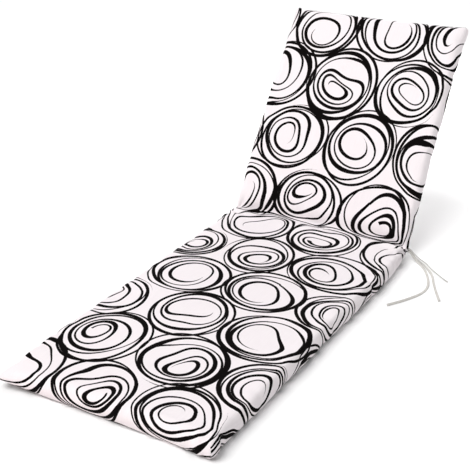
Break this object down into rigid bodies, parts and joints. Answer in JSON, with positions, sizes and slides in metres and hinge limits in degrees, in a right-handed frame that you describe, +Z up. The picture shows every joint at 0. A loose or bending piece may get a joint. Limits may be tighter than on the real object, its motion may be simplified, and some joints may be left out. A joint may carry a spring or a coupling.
{
  "type": "sun lounger cushion",
  "caption": "Long padded cushion for a sun lounger, bent where the seat meets the back, with cloth ties at the bend.",
  "frame": {"origin": "on the surface that the cushion lies on, under the middle of its bounding box measured without the ties", "axes": "+Y from the foot end towards the head end, +Z up, +X to the side that the ties come out of"},
  "size_m": [0.8186, 1.6416, 0.6512],
  "materials": {
    "printed_cover": "matt woven cotton, white with a black hand-drawn ring print",
    "tie_tape": "matt woven tape, off-white"
  },
  "bodies": {
    "root": {"cushion": "printed_cover", "tie_far": "tie_tape", "tie_middle": "tie_tape", "tie_near": "tie_tape"}
  },
  "joints": []
}
